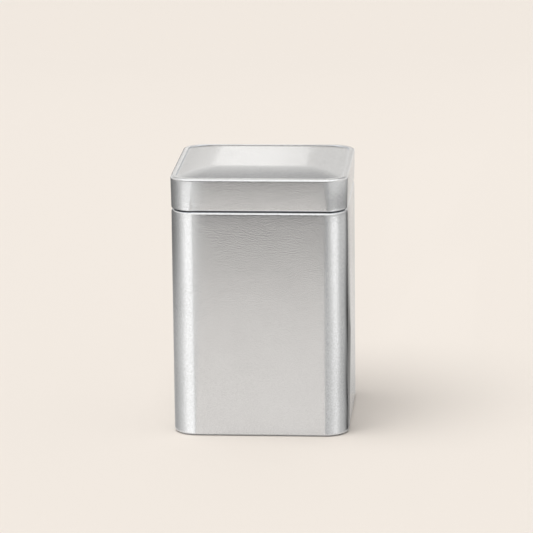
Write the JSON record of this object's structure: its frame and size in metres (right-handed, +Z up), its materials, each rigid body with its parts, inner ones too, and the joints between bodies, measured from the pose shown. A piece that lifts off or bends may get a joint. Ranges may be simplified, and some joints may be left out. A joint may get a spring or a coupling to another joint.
{
  "type": "tea tin",
  "caption": "Square upright tea tin in plain satin tinplate, shut, with a shallow slip lid that has a raised square panel on top.",
  "frame": {"origin": "centre of the base, on the surface that the tin stands on", "axes": "+Z up through the lid; the four sides are alike, and the front one faces -Y, with +X to its right"},
  "size_m": [0.075, 0.075, 0.1141],
  "materials": {
    "satin_tinplate": "satin, fine even grain, plain and uncoated"
  },
  "bodies": {
    "root": {"tin_body": "satin_tinplate", "tin_lid": "satin_tinplate"}
  },
  "joints": []
}
